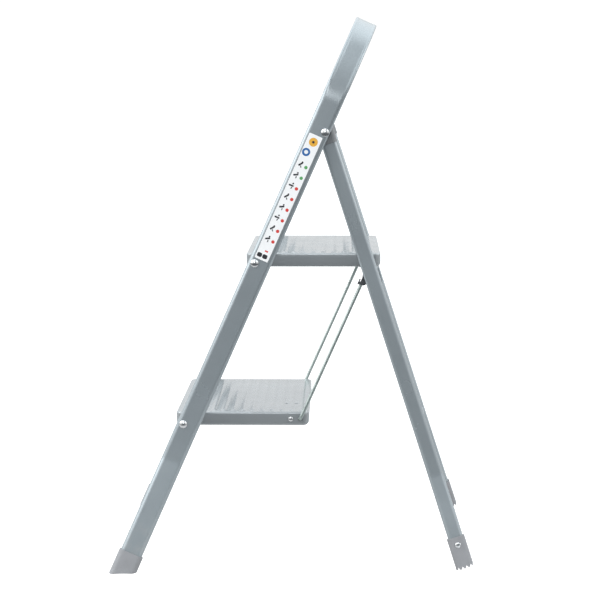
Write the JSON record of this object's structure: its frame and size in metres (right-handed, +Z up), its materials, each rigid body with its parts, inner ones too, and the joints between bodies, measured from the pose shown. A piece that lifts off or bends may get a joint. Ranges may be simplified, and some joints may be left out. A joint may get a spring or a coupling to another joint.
{
  "type": "folding step ladder",
  "caption": "Folding steel step ladder with a tall hand hoop, ribbed treads, wire linkage rods and moulded feet.",
  "frame": {"origin": "centre of the bounding box at floor level, ladder standing open", "axes": "+Z up, +Y from the climbing side to the back, +X to the climber's right"},
  "size_m": [0.4492, 0.5191, 0.7863],
  "materials": {
    "grey_enamel": "semi-gloss blue-grey metallic enamel on steel",
    "pan_enamel": "smooth grey metallic enamel on pressed steel",
    "zinc_wire": "zinc-plated wire",
    "bright_steel": "bright plated rivets and push nuts",
    "grey_plastic": "matt grey moulded feet",
    "pale_plastic": "matt grey moulded caps and bushes",
    "black_plastic": "dark moulded clip and washers",
    "white_label": null
  },
  "bodies": {
    "front_frame": {"front_tube": "grey_enamel", "side_label": "white_label", "front_foot_left": "grey_plastic", "front_foot_right": "grey_plastic", "hinge_rivet_left": "bright_steel", "hinge_rivet_right": "bright_steel", "step_rivet_upper_left": "bright_steel", "step_rivet_upper_right": "bright_steel", "step_rivet_lower_left": "bright_steel", "step_rivet_lower_right": "bright_steel", "step_bush_upper_left": "pale_plastic", "step_bush_upper_right": "pale_plastic", "step_bush_lower_left": "pale_plastic", "step_bush_lower_right": "pale_plastic"},
    "rear_frame": {"rest_bar": "grey_enamel", "rear_brace": "grey_enamel", "rear_leg_left": "grey_enamel", "rear_leg_right": "grey_enamel", "hinge_cap_left": "pale_plastic", "hinge_cap_right": "pale_plastic", "hinge_washer_left": "black_plastic", "hinge_washer_right": "black_plastic", "rear_foot_left": "grey_plastic", "rear_foot_right": "grey_plastic", "foot_rivet_left": "bright_steel", "foot_rivet_right": "bright_steel", "rod_clip_left": "black_plastic", "rod_clip_right": "black_plastic", "clip_rivet_left": "bright_steel", "clip_rivet_right": "bright_steel"},
    "platform": {"platform_pan": "pan_enamel", "platform_hook_left": "grey_enamel", "platform_hook_right": "grey_enamel", "hook_rivet_left": "bright_steel", "hook_rivet_right": "bright_steel"},
    "lower_step": {"lower_step_pan": "pan_enamel", "step_bracket_left": "grey_enamel", "step_bracket_right": "grey_enamel", "bracket_rivet_left": "bright_steel", "bracket_rivet_right": "bright_steel"},
    "link_left": {"link_rod_left": "zinc_wire", "rod_nut_lower_left": "bright_steel", "rod_nut_upper_left": "bright_steel"},
    "link_right": {"link_rod_right": "zinc_wire", "rod_nut_lower_right": "bright_steel", "rod_nut_upper_right": "bright_steel"}
  },
  "joints": [
    {"name": "rear_fold", "type": "hinge", "parent": "front_frame", "child": "rear_frame", "pos_m": [0, 0.0482, 0.6235], "axis": [1, 0, 0], "range_deg": [-41.8, 0]},
    {"name": "platform_fold", "type": "hinge", "parent": "front_frame", "child": "platform", "pos_m": [0, -0.05104, 0.44044], "axis": [1, 0, 0], "range_deg": [0, 62.5]},
    {"name": "lower_step_fold", "type": "hinge", "parent": "front_frame", "child": "lower_step", "pos_m": [0, -0.15344, 0.21044], "axis": [1, 0, 0], "range_deg": [0, 62.5]},
    {"name": "left_rod_swing", "type": "hinge", "parent": "lower_step", "child": "link_left", "pos_m": [0, 0.01186, 0.21044], "axis": [1, 0, 0], "range_deg": [-62.5, 0]},
    {"name": "right_rod_swing", "type": "hinge", "parent": "lower_step", "child": "link_right", "pos_m": [0, 0.01186, 0.21044], "axis": [1, 0, 0], "range_deg": [-62.5, 0]}
  ],
  "couplings": [
    {"joint": "platform_fold", "follows": "rear_fold", "ratio": -1.4928},
    {"joint": "lower_step_fold", "follows": "rear_fold", "ratio": -1.4928},
    {"joint": "left_rod_swing", "follows": "rear_fold", "ratio": 1.4928},
    {"joint": "right_rod_swing", "follows": "rear_fold", "ratio": 1.4928}
  ]
}
